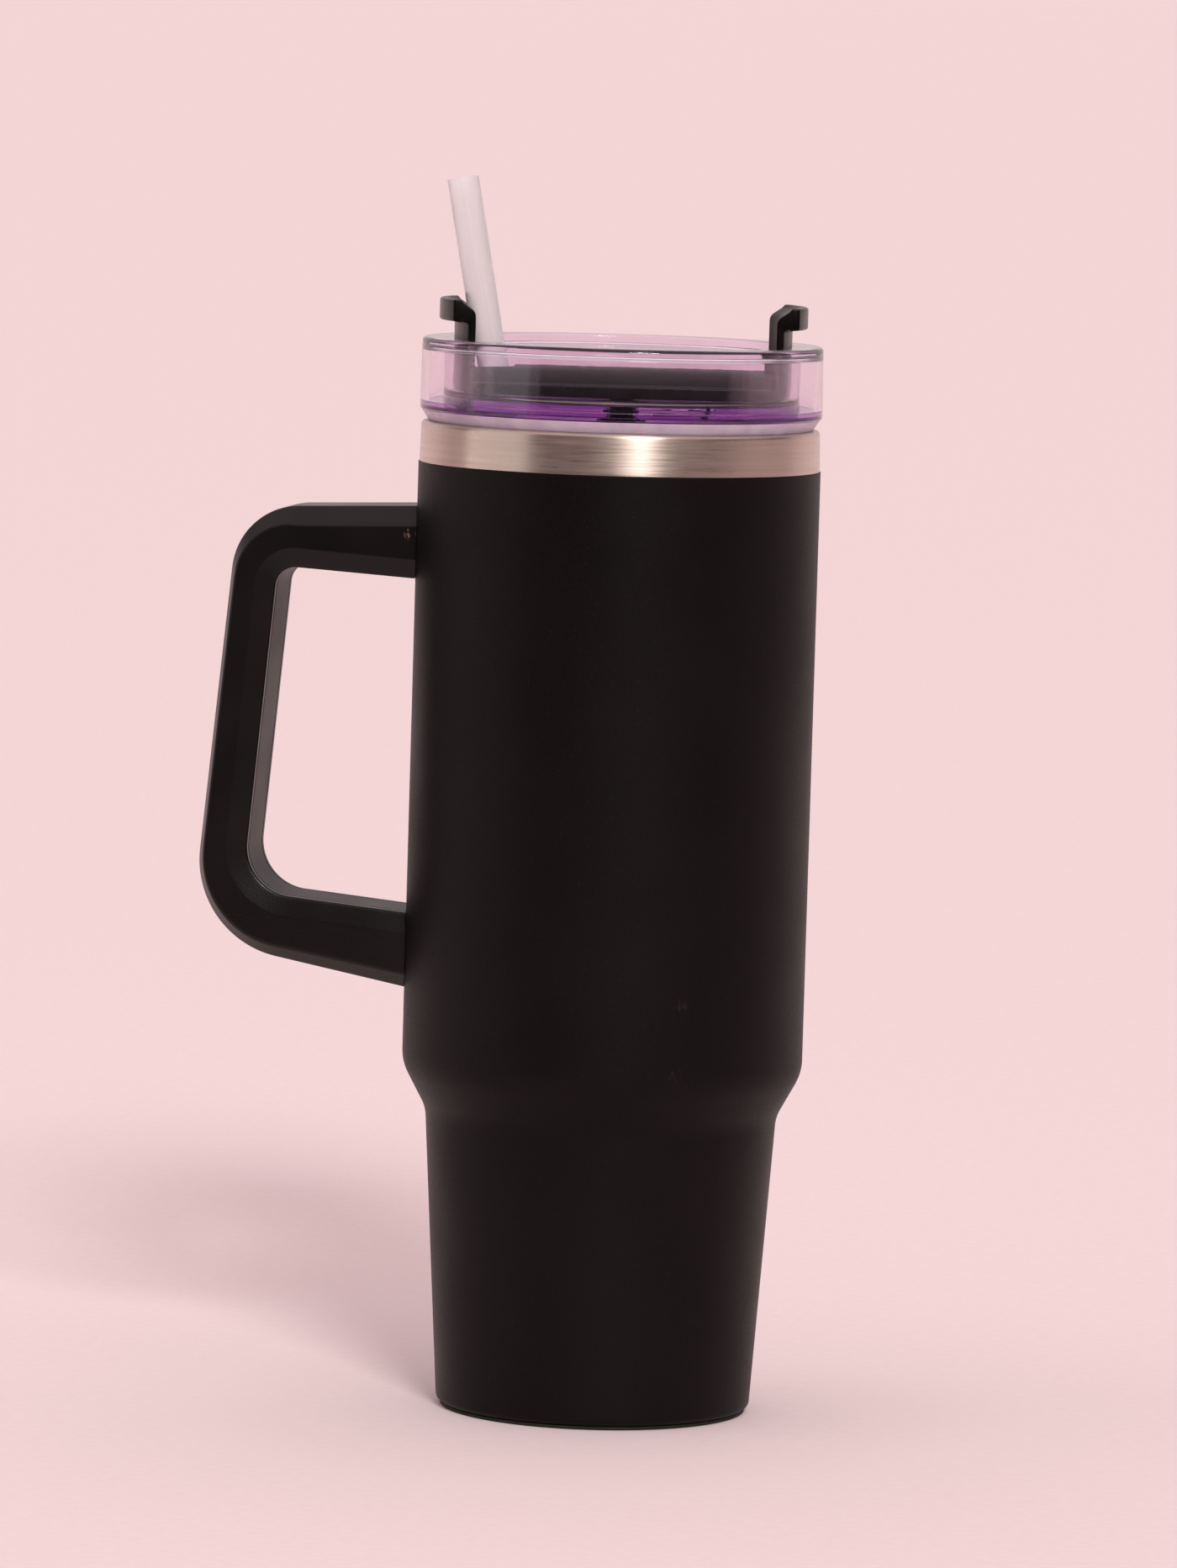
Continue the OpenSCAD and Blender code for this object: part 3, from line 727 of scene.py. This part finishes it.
def lower_top(x):
    """Height of the lower arm's top."""
    return LOWER_TOP_Z + 0.092 * (x - BODY_R)


def lower_under(x):
    """Height of the lower arm's underside."""
    return LOWER_UNDER_Z + 0.187 * (x - BODY_R)


REACH = 102.08
OUTER_UPPER_X = REACH - OUTER_LEAN * (UPPER_TOP_Z - lower_under(REACH))
INNER_LOWER_X = REACH - GRIP_T
INNER_UPPER_X = INNER_LOWER_X - INNER_LEAN * (UPPER_UNDER_Z - LOWER_TOP_Z)
outer_line = [
    [ARM_START, upper_top(ARM_START)],
    [OUTER_UPPER_X, upper_top(OUTER_UPPER_X)],
    [REACH, lower_under(REACH)],
    [ARM_START, lower_under(ARM_START)],
]
inner_line = [
    [ARM_START, upper_under(ARM_START)],
    [INNER_UPPER_X, upper_under(INNER_UPPER_X)],
    [INNER_LOWER_X, lower_top(INNER_LOWER_X)],
    [ARM_START, lower_top(ARM_START)],
]


def stations(line, radii):
    """Points along one side of the handle: the start, the two bends, the end."""
    bends = rounded_corners(line, radii, BEND_STEPS, hold=2.0)
    return np.concatenate([[line[0]], bends[1], bends[2], [line[3]]])


inner_path = stations(inner_line, [1, 5, 12, 1])
outer_path = stations(outer_line, [1, 17, 24, 1])
# Depth of the bevels at six places along the handle: cup, upper bend, lower bend, cup
SPANS = np.r_[0, np.linspace(1, 2, BEND_STEPS + 3), np.linspace(3, 4, BEND_STEPS + 3), 5]
bevel_in = np.interp(SPANS, range(6), [4.6, 4.8, 5.2, 5.2, 5.0, 5.0])
bevel_out = np.interp(SPANS, range(6), [4.9, 4.7, 1.6, 1.6, 3.0, 3.7])
depth = np.linalg.norm(outer_path - inner_path, axis=1)


def both_sides(half):
    """A half section (stations, n, 2) and its mirror image, as one closed ring."""
    return np.concatenate([half, half[:, ::-1] * [-1, 1]], axis=1)


def along_handle(half, radii, steps=5):
    """f(u, v): point v of the rounded cross-section at station u. Across the section is Y, and its
    depth runs from the finger side to the outer side of the handle. The arms' ends are cut to the
    cup: each line of an arm ends where its distance from the axis is the cup's radius plus the slip."""
    rings = rounded_corners(both_sides(half), list(radii) + list(radii)[::-1], steps, hold=0.5)
    rings = rings.reshape(len(rings), -1, 2)
    away = (outer_path - inner_path) / depth[:, None]
    spot = inner_path[:, None, :] + away[:, None, :] * rings[..., 1:]
    grid = np.stack([-spot[..., 0], rings[..., 0], spot[..., 1]], axis=-1)
    for end, near in ((0, 1), (-1, -2)):
        reach = -np.sqrt((BODY_R + SLIP) ** 2 - grid[end, :, 1] ** 2)
        share = (reach - grid[end, :, 0]) / (grid[near, :, 0] - grid[end, :, 0])
        grid[end] += share[:, None] * (grid[near] - grid[end])
    return grid


ones = np.ones_like(depth)
frame_half = np.stack(
    [
        np.stack([CHANNEL_HALF * ones, depth - FRAME_WALL], -1),
        np.stack([CHANNEL_HALF * ones, (COVER_T + SLIP) * ones], -1),
        np.stack([(COVER_HALF + SLIP) * ones, (COVER_T + SLIP) * ones], -1),
        np.stack([(COVER_HALF + SLIP) * ones, 0 * ones], -1),
        np.stack([INNER_HALF * ones, 0 * ones], -1),
        np.stack([HALF * ones, bevel_in], -1),
        np.stack([HALF * ones, depth - bevel_out], -1),
        np.stack([OUTER_HALF * ones, depth], -1),
    ],
    axis=1,
)
frame_grid = along_handle(frame_half, [0.6, 0.1, 0.1, 0.35, 0.6, 0.9, 0.9, 0.9])
place(
    "handle_frame_moulded",
    solid_mesh("handle_frame", [skin(frame_grid, ring_u=False, ends=True)]),
    "cup",
    "handle_plastic",
    HANDLE,
    "handle_frame",
)
cover_half = np.stack(
    [
        np.stack([COVER_HALF * ones, 0 * ones], -1),
        np.stack([COVER_HALF * ones, COVER_T * ones], -1),
    ],
    axis=1,
)
cover_grid = along_handle(cover_half, [0.45, 0.2])
place(
    "handle_cover_strip",
    solid_mesh("handle_cover", [skin(cover_grid, ring_u=False, ends=True)]),
    "cup",
    "cover_plastic",
    COVER,
    "handle_cover",
)


# ---------- lid ----------

base_low, base_high = box_mm("lid_base")
LID_TOP = box_mm("lid_body")[1][2]
LID_R = base_high[0]
PLUG_H = 10.0
PLUG_LOW = base_low[2]
LID_Z = PLUG_LOW + PLUG_H
RING_TOP = LID_Z + 2.2
FLOOR_UNDER = LID_Z + 0.9
LID_FLOOR = LID_Z + 3.4
RECESS_R = 41.5
RECESS_OUT = RECESS_R + 1.8
LID_WALL = 2.0
CAVITY_TOP = LID_TOP - LID_WALL
PLUG_R = 44.0
PLUG_WALL = 1.6
PIN_R = 3.0
STRAW_X = -30.6
STRAW_HOLE_R = 4.6
DRINK_R, DRINK_HALF_W = 31.0, 4.5
DRINK_HALF_ANGLE = (7.2 - DRINK_HALF_W) / DRINK_R

body = [
    (0, FLOOR_UNDER, 0),
    (RECESS_OUT, FLOOR_UNDER, 0.3),
    (RECESS_OUT, CAVITY_TOP, 1.2),
    (LID_R - LID_WALL, CAVITY_TOP, 1.2),
    (LID_R - LID_WALL, RING_TOP, 0.1),
    (LID_R, RING_TOP, 0.1),
    (LID_R - 0.15, LID_TOP, 1.1),
    (RECESS_R, LID_TOP, 0.6),
    (RECESS_R, LID_FLOOR, 1.6),
    (0, LID_FLOOR, 0),
]


def flared_hole(centre, radius, low, high, flare=0.35):
    """f(u, v): a round cutter whose radius grows by flare over the last flare of its height at both
    faces, so that the hole's edges come out broken."""
    z = np.array([low - PAST, low, low + flare, high - flare, high, high + PAST])
    r = radius + np.array([flare, flare, 0, 0, flare, flare])
    angle = np.linspace(0, 2 * np.pi, 64, endpoint=False)
    grid = np.stack(
        [
            centre[0] + r[:, None] * np.cos(angle),
            centre[1] + r[:, None] * np.sin(angle),
            np.broadcast_to(z[:, None], (6, 64)),
        ],
        axis=-1,
    )
    return skin(grid, ring_u=False, ends=True)


def flared_slot(radius, half_w, half_angle, low, high, flare=0.35):
    """f(u, v): a slot cutter of half width w that follows an arc about the lid's centre, with round
    ends: along the arc's outer and inner side the distance from the centre is radius +- w, and round
    each end the point turns about the arc's end at distance w. w grows by flare at both faces."""
    z = np.array([low - PAST, low, low + flare, high - flare, high, high + PAST])
    w = half_w + np.array([flare, flare, 0, 0, flare, flare])
    side = np.linspace(0, 1, 12, endpoint=False)
    bend = np.linspace(0, np.pi, 16, endpoint=False)
    arc = np.concatenate(
        [
            -half_angle + 2 * half_angle * side,
            half_angle + 0 * bend,
            half_angle - 2 * half_angle * side,
            -half_angle + 0 * bend,
        ]
    )
    facing = np.concatenate([0 * side, bend, np.pi + 0 * side, np.pi + bend])
    at = np.pi / 2 + arc
    turn = at + facing
    x = radius * np.cos(at) + w[:, None] * np.cos(turn)
    y = radius * np.sin(at) + w[:, None] * np.sin(turn)
    grid = np.stack([x, y, np.broadcast_to(z[:, None], x.shape)], axis=-1)
    return skin(grid, ring_u=False, ends=True)


lid_mesh = carve(
    solid_mesh("lid", [skin(lathe(outline(body)))]),
    [
        flared_hole((0, 0), PIN_R, FLOOR_UNDER, LID_FLOOR),
        flared_hole((STRAW_X, 0), STRAW_HOLE_R, FLOOR_UNDER, LID_FLOOR),
        flared_slot(DRINK_R, DRINK_HALF_W, DRINK_HALF_ANGLE, FLOOR_UNDER, LID_FLOOR),
    ],
)
place("lid_body_clear", lid_mesh, "lid", "lid_clear", LID_CLEAR, "lid_body")

LEDGE = FLOOR_UNDER - 0.05
ring = [
    (PLUG_R - PLUG_WALL, PLUG_LOW, 0.5),
    (PLUG_R, PLUG_LOW, 0.5),
    (PLUG_R, LID_Z - 7.6, 0.1),
    (PLUG_R - 0.6, LID_Z - 7.6, 0.1),
    (PLUG_R - 0.6, LID_Z - 4.2, 0.1),
    (PLUG_R, LID_Z - 4.2, 0.1),
    (PLUG_R, LID_Z, 0.2),
    (LID_R, LID_Z, 0.5),
    (LID_R, RING_TOP, 0.1),
    (RECESS_OUT + 0.05, RING_TOP, 0.1),
    (RECESS_OUT + 0.05, LEDGE, 0.1),
    (PLUG_R - PLUG_WALL, LEDGE, 0.1),
]
base_mesh = solid_mesh("lid_base", [skin(lathe(outline(ring)))])
place("lid_base_clear", base_mesh, "lid", "lid_clear", LID_VIOLET, "lid_base")

SLEEVE_R = PLUG_R + 0.5
FIN_R = LINER_R - 0.15
SEAL_LOW = LID_Z - 9
gasket = [
    (PLUG_R, SEAL_LOW, 0.1),
    (SLEEVE_R, SEAL_LOW, 0.1),
    (FIN_R, SEAL_LOW + 0.9, 0.15),
    (FIN_R, SEAL_LOW + 1.4, 0.15),
    (SLEEVE_R, SEAL_LOW + 1.8, 0.1),
    (SLEEVE_R, SEAL_LOW + 3.6, 0.1),
    (FIN_R, SEAL_LOW + 4.5, 0.15),
    (FIN_R, SEAL_LOW + 5, 0.15),
    (SLEEVE_R, SEAL_LOW + 5.4, 0.1),
    (SLEEVE_R, MOUTH_Z + 0.05, 0.1),
    (BODY_R - 2.2, MOUTH_Z + 0.05, 0.35),
    (LID_R - 0.4, LID_Z, 0.1),
    (PLUG_R, LID_Z, 0),
    (PLUG_R, LID_Z - 4.3, 0),
    (PLUG_R - 0.5, LID_Z - 4.3, 0.1),
    (PLUG_R - 0.5, LID_Z - 7.5, 0.1),
    (PLUG_R, LID_Z - 7.5, 0),
]
gasket_mesh = solid_mesh("gasket", [skin(lathe(outline(gasket)))])
place("rim_gasket_silicone", gasket_mesh, "lid", "silicone", SILICONE, "rim_gasket")


# ---------- closure ----------

# The strap is built along X, and stands turned by this many degrees at rest
STRAP_TURN = 11.5
strap_low, strap_high = box_mm("closure_strap")
STRAP_LOW = strap_low[2]
STRAP_TOP = STRAP_LOW + 2.9
LIP_TOP = strap_high[2]
STRAP_HALF_W = 15.5
UPRIGHT_OUT, UPRIGHT_IN = 41.1, 39.3
LIP_OUT = 44.8
CROWN_RIGHT = 37.0
CROWN_RISE, CROWN_HALF_W = 4.2, 13.0
CROWN_ROUND = (CROWN_HALF_W**2 + CROWN_RISE**2) / (2 * CROWN_RISE)
EDGE = 0.35

lip = [
    (UPRIGHT_OUT, STRAP_LOW, 2.6),
    (UPRIGHT_OUT, LIP_TOP - 5.7, 0.7),
    (42.3, LIP_TOP - 5.0, 0.4),
    (42.8, LIP_TOP - 5.4, 0.4),
    (LIP_OUT, LIP_TOP - 5.2, 0.5),
    (LIP_OUT, LIP_TOP, 0.6),
    (43.0, LIP_TOP, 0.5),
    (42.3, LIP_TOP - 0.8, 0.4),
    (UPRIGHT_IN, LIP_TOP - 2.8, 2.4),
    (UPRIGHT_IN, STRAP_TOP, 1.0),
]
crown_end = [(CROWN_RIGHT + 0.6, STRAP_TOP, 0.1), (CROWN_RIGHT, STRAP_TOP, 0.1)]
strap_corners = np.array(lip + crown_end + [(-x, z, r) for x, z, r in lip[::-1]])
raised = np.zeros(len(strap_corners))
raised[[len(lip) + 1, len(lip) + 2]] = 1.0


def strap_surface():
    """f(u, v): the strap's long outline, carried across its width at v. Across the width y the
    outline's crown corners rise by the height of a circular arc over the strap, and beyond 20 mm from
    the centre the outline draws in by R - sqrt(R^2 - y^2), so that the uprights follow the recess.
    Over the last bit of both sides the outline shrinks along its own normals as a quarter circle."""
    turn = np.linspace(0, np.pi / 2, 5)
    shrink_in = EDGE * (1 - np.sin(turn))
    edge_y = STRAP_HALF_W - EDGE + EDGE * np.cos(turn)
    middle = np.linspace(-1, 1, 61)[1:-1] * (STRAP_HALF_W - EDGE)
    y = np.concatenate([-edge_y, middle, edge_y[::-1]])
    shrink = np.concatenate([shrink_in, 0 * middle, shrink_in[::-1]])
    arc = np.sqrt(np.maximum(CROWN_ROUND**2 - y**2, 0)) - (CROWN_ROUND - CROWN_RISE)
    rise = np.maximum(arc, 0.14)
    corners = np.repeat(strap_corners[None, :, :2], len(y), axis=0)
    corners[:, :, 1] += rise[:, None] * raised
    ring = rounded_corners(corners, strap_corners[:, 2], 6).reshape(len(y), -1, 2)
    step = np.roll(ring, -1, axis=1) - np.roll(ring, 1, axis=1)
    normal = np.stack([-step[..., 1], step[..., 0]], axis=-1)
    normal /= np.linalg.norm(normal, axis=-1, keepdims=True)
    ring = ring + normal * shrink[:, None, None]
    x, z = ring[..., 0], ring[..., 1]
    share = np.clip((np.abs(x) - 20) / 15, 0, 1)
    share = share * share * (3 - 2 * share)
    drawn = (UPRIGHT_OUT - np.sqrt(UPRIGHT_OUT**2 - y**2))[:, None] * share
    x = x - np.sign(x) * drawn
    return np.stack([x, np.broadcast_to(y[:, None], x.shape), z], axis=-1)


def notch_cutter():
    """f(u, v): point u of a rounded outline between two distances and two angles about the centre, in
    (arc length at the middle distance, distance), bent round the centre and carried up the height v.
    It gives the straw room while the strap turns."""
    r1, r2 = 26.2, 36.6
    a1, a2 = math.radians(140), math.radians(188.5)
    mid = (r1 + r2) / 2
    flat = rounded_corners(
        [[a1 * mid, r1], [a2 * mid, r1], [a2 * mid, r2], [a1 * mid, r2]], [1.2] * 4, 6
    ).reshape(-1, 2)
    k = np.linspace(0, 1, 24, endpoint=False)[:, None]
    dense = (flat[:, None] + k * (np.roll(flat, -1, axis=0) - flat)[:, None]).reshape(-1, 2)
    a, r = dense[:, 0] / mid, dense[:, 1]
    z = np.array([STRAP_LOW - PAST, STRAP_TOP + CROWN_RISE + PAST])[:, None]
    grid = np.stack([r * np.cos(a) + 0 * z, r * np.sin(a) + 0 * z, z + 0 * a], axis=-1)
    return skin(grid, ring_u=False, ends=True)


SEAL_R = 7.9
POCKET_H = 1.1
strap_mesh = carve(
    solid_mesh("strap", [skin(strap_surface(), ring_u=False, ends=True)]),
    [
        notch_cutter(),
        flared_hole((DRINK_R, 0), SEAL_R, STRAP_LOW - 3, STRAP_LOW + POCKET_H - PAST, 0.1),
    ],
)
spin = Matrix.Rotation(math.radians(STRAP_TURN), 4, "Z")
strap_mesh.transform(spin)
place("closure_strap_moulded", strap_mesh, "closure", "closure_plastic", ABS, "closure_strap")

seal_low, seal_high = box_mm("closure_seal")
seal = [
    (0, seal_low[2] + 0.25, 0),
    (SEAL_R - 2.4, seal_low[2] + 0.25, 0.2),
    (SEAL_R - 1.8, seal_low[2], 0.2),
    (SEAL_R, seal_low[2], 0.25),
    (SEAL_R, seal_high[2], 0.1),
    (0, seal_high[2], 0),
]
seal_mesh = solid_mesh("seal", [skin(lathe(outline(seal), 128) + [DRINK_R, 0, 0])])
seal_mesh.transform(spin)
place("closure_seal_silicone", seal_mesh, "closure", "silicone", SILICONE, "closure_seal")


# ---------- straw ----------

STRAW_R, STRAW_WALL = 3.85, 0.6
HOLE_Z = (FLOOR_UNDER + LID_FLOOR) / 2
BELOW = (HOLE_Z - 13) / math.cos(STRAW_LEAN)
ABOVE = (300 - HOLE_Z) / math.cos(STRAW_LEAN)
tube = [
    (STRAW_R - STRAW_WALL, -BELOW, 0.22),
    (STRAW_R, -BELOW, 0.22),
    (STRAW_R, ABOVE, 0.22),
    (STRAW_R - STRAW_WALL, ABOVE, 0.22),
]
tube_grid = lathe(outline(tube), 96)
lean_cos, lean_sin = math.cos(STRAW_LEAN), math.sin(STRAW_LEAN)
lean_turn = np.array([[lean_cos, 0, lean_sin], [0, 1, 0], [-lean_sin, 0, lean_cos]])
tube_grid = tube_grid @ lean_turn + [STRAW_X, 0, HOLE_Z]
place("straw_tube", solid_mesh("straw", [skin(tube_grid)]), "straw", "straw_plastic", FROSTED, "straw")


# ---------- CAD nodes that stay ----------

KEPT = {
    "radiation_foil": COPPER,
    "outer_base": PRESSED,
    "getter": GETTER,
    "vacuum_seal": BEAD,
    "base_cover": COAT,
    "upper_bracket": PRESSED,
    "lower_bracket": PRESSED,
    "handle_screws": ZINC,
    "pivot_pin": ABS,
    "pivot_ring": SILICONE,
}
for node, material in KEPT.items():
    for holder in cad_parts[node].material_slots:
        holder.material = material


# ---------- floor, light and camera ----------


def floor_material():
    """Painted board, rolled: pale, matt, with a barely visible stipple."""
    material, tree, where = begin("floor_painted_board")
    colour = add(
        tree,
        "Mix",
        {0: grain(tree, where, 3), 6: tint("#ecd9da"), 7: tint("#eedcdd")},
        data_type="RGBA",
    ).outputs[2]
    board = add(tree, "BsdfPrincipled", {"Base Color": colour, "Roughness": 0.85, "Specular IOR Level": 0.2})
    shade(tree, board.outputs[0])
    return material


# A long board whose near edge lies just outside the frame, so that the clear lid and the paint
# mirror the dim room there and not a lit floor.
FLOOR_HALF, FLOOR_NEAR, FLOOR_FAR, FLOOR_TOP_Z = 300.0, -0.62, 500.0, -2e-5
floor_mesh = bpy.data.meshes.new("floor")
floor_mesh.from_pydata(
    [
        (-FLOOR_HALF, FLOOR_NEAR, FLOOR_TOP_Z),
        (FLOOR_HALF, FLOOR_NEAR, FLOOR_TOP_Z),
        (FLOOR_HALF, FLOOR_FAR, FLOOR_TOP_Z),
        (-FLOOR_HALF, FLOOR_FAR, FLOOR_TOP_Z),
    ],
    [],
    [(0, 1, 2, 3)],
)
floor_mesh.materials.append(floor_material())
floor = bpy.data.objects.new("floor", floor_mesh)
bpy.context.scene.collection.objects.link(floor)

CAMERA_AZ = math.radians(9)
world = bpy.data.worlds.new("studio")
bpy.context.scene.world = world
world.use_nodes = True
air = world.node_tree
air.nodes.clear()
# A pale room: a bright wall behind the object and a bright ceiling, with dim sides. The eye itself
# sees the pale wall all round.
facing = add(air, "TexCoord").outputs["Generated"]
back = add(
    air, "VectorMath", {0: facing, 1: (-math.sin(CAMERA_AZ), math.cos(CAMERA_AZ), 0)}, operation="DOT_PRODUCT"
).outputs["Value"]
wall = add(
    air, "MapRange", {"Value": back, "From Min": 0.35, "From Max": 0.7, "To Min": 0.09, "To Max": 0.8}
).outputs[0]
height = add(
    air, "VectorMath", {0: facing, 1: (0, 0, 1)}, operation="DOT_PRODUCT"
).outputs["Value"]
ceiling = add(
    air, "MapRange", {"Value": height, "From Min": 0.35, "From Max": 0.8, "To Min": 0.0, "To Max": 1.15}
).outputs[0]
strength = add(air, "Math", {0: wall, 1: ceiling}, operation="MAXIMUM").outputs[0]
lit = add(air, "Background", {"Color": tint("#f6e4e4"), "Strength": strength})
seen = add(air, "Background", {"Color": tint("#f3d5d5"), "Strength": 1.0})
eye = add(air, "LightPath").outputs["Is Camera Ray"]
room = add(air, "MixShader", {0: eye, 1: lit.outputs[0], 2: seen.outputs[0]})
add(air, "OutputWorld", {"Surface": room.outputs[0]})


def lamp(name, kind, azimuth, elevation, distance, target, **settings):
    """A lamp that stands at an angle to the camera's own side and faces the target."""
    a = CAMERA_AZ + math.radians(azimuth)
    e = math.radians(elevation)
    data = bpy.data.lights.new(name, kind)
    for key, value in settings.items():
        setattr(data, key, value)
    light = bpy.data.objects.new(name, data)
    away = Vector((math.sin(a) * math.cos(e), -math.cos(a) * math.cos(e), math.sin(e)))
    light.location = Vector(target) + away * distance
    light.rotation_mode = "QUATERNION"
    light.rotation_quaternion = away.to_track_quat("Z", "Y")
    bpy.context.scene.collection.objects.link(light)


lamp("key", "SUN", 13, 30, 3, (0, 0, 0.15), energy=2.0, angle=math.radians(15), color=(1.0, 0.97, 0.95))
lamp(
    "left_panel", "AREA", -76, 8, 1.6, (0, 0, 0.15),
    energy=4.5, shape="RECTANGLE", size=1.3, size_y=1.6, color=(1.0, 0.95, 0.94),
)

LENS, SENSOR = 202.7, 36.0
DISTANCE, HEIGHT, PITCH, ROLL = 2.148, 0.345, math.radians(5.1), 0.0295
right = Vector((math.cos(CAMERA_AZ), math.sin(CAMERA_AZ), 0))
ahead = Vector(
    (-math.sin(CAMERA_AZ) * math.cos(PITCH), math.cos(CAMERA_AZ) * math.cos(PITCH), -math.sin(PITCH))
)
up = right.cross(ahead)
cam_x = math.cos(ROLL) * right + math.sin(ROLL) * up
cam_y = -math.sin(ROLL) * right + math.cos(ROLL) * up
cam_z = -ahead
camera_data = bpy.data.cameras.new("camera")
camera_data.lens = LENS
camera_data.sensor_width = SENSOR
camera_data.shift_x = -0.01383
camera_data.shift_y = 0.0004
camera_data.clip_end = 1000
camera = bpy.data.objects.new("camera", camera_data)
camera.matrix_world = Matrix(
    (
        (cam_x.x, cam_y.x, cam_z.x, DISTANCE * math.sin(CAMERA_AZ)),
        (cam_x.y, cam_y.y, cam_z.y, -DISTANCE * math.cos(CAMERA_AZ)),
        (cam_x.z, cam_y.z, cam_z.z, HEIGHT),
        (0, 0, 0, 1),
    )
)
bpy.context.scene.collection.objects.link(camera)
bpy.context.scene.camera = camera
bpy.context.scene.view_settings.view_transform = "Standard"
